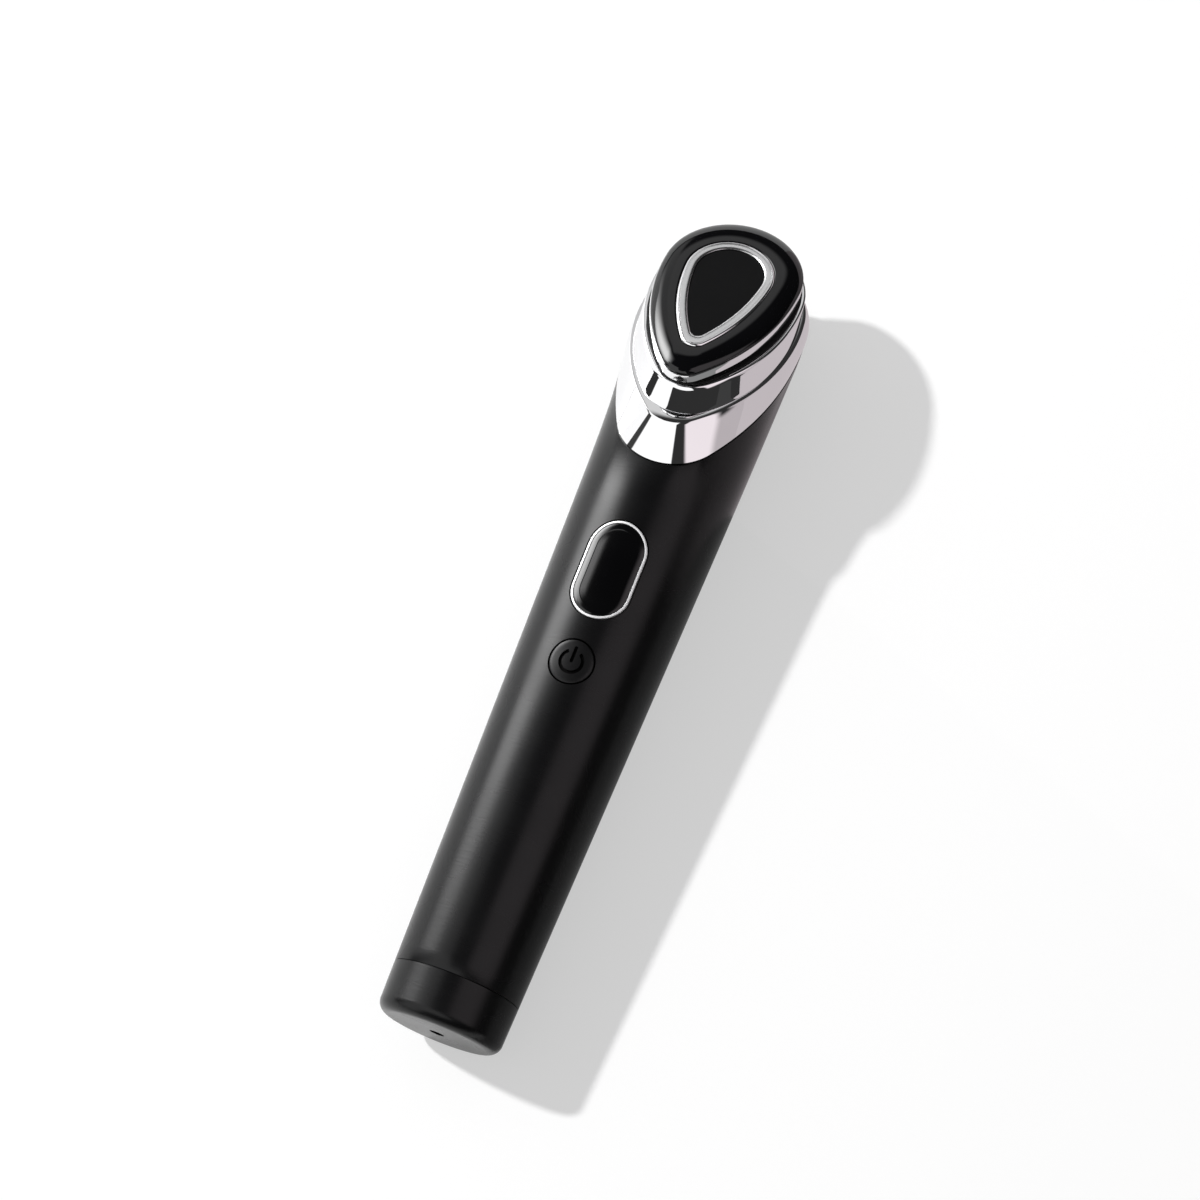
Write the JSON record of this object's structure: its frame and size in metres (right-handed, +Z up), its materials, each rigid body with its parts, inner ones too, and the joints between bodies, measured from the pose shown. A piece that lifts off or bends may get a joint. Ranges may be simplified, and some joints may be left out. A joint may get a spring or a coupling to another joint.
{
  "type": "led facial massager",
  "caption": "Hand-held facial massager: tapered round handle with power button and display window, obliquely cut chromed neck and tilted head with a drop-shaped light face.",
  "frame": {"origin": "middle of the object's base as it lies on its back: under the middle of its length and width, on the table", "axes": "+Y along the wand from the tail to the head, +Z up from the table, out of the button's side; the wand lies with the line down its back on the table, so its own axis rises 1.41 degrees from +Y"},
  "size_m": [0.0338, 0.173, 0.0403],
  "materials": {
    "satin_black": "satin",
    "button_black": "matte",
    "gloss_black": "polished",
    "lens_black": "satin, seen through only when lit",
    "groove_black": "matte",
    "chrome": "mirror",
    "rim_silver": "polished",
    "brushed_silver": "fine brushed",
    "nickel": "plated",
    "board_green": "solder mask",
    "components": "moulded",
    "cell_wrap": "shrink sleeve",
    "dark_plastic": "moulded",
    "white_plastic": "diffusing",
    "led_yellow": "clear over phosphor",
    "soft_grey": "matte",
    "dense_steel": "sintered",
    "ribbon_amber": "flexible film"
  },
  "bodies": {
    "wand": {"handle_shell": "satin_black", "end_cap": "satin_black", "charge_jack": "dark_plastic", "jack_sleeve": "nickel", "jack_pin": "nickel", "charge_board": "board_green", "chassis": "dark_plastic", "main_board": "board_green", "board_parts": "components", "board_screws": "nickel", "battery": "cell_wrap", "battery_tabs": "nickel", "buzzer": "dark_plastic", "button_switch": "nickel", "display_lens": "gloss_black", "display_trim": "chrome", "display_module": "components", "display_baffle": "dark_plastic", "chrome_collar": "chrome", "neck_frame": "dark_plastic", "head_bezel": "chrome", "head_carrier": "groove_black", "head_screws": "nickel", "rim_electrode": "rim_silver", "rim_contacts": "nickel", "face_block": "gloss_black", "drop_electrode": "brushed_silver", "drop_contacts": "nickel", "face_lens": "lens_black", "light_diffuser": "white_plastic", "light_reflector": "white_plastic", "led_board": "board_green", "leds": "led_yellow", "motor_body": "nickel", "motor_sleeve": "soft_grey", "motor_bracket": "dark_plastic", "head_ribbon": "ribbon_amber"},
    "button": {"power_button": "button_black", "switch_plunger": "dark_plastic"},
    "motor_rotor": {"motor_weight": "dense_steel"}
  },
  "joints": [
    {"name": "button_press", "type": "slide", "parent": "wand", "child": "button", "axis": [0, 0.0246, -0.9997], "range_m": [0, 0.0006], "stiffness_N_per_m": 1200},
    {"name": "motor_spin", "type": "hinge", "parent": "wand", "child": "motor_rotor", "pos_m": [0, 0.05183, 0.01184], "axis": [0, 0.9997, 0.0246], "continuous": true}
  ]
}
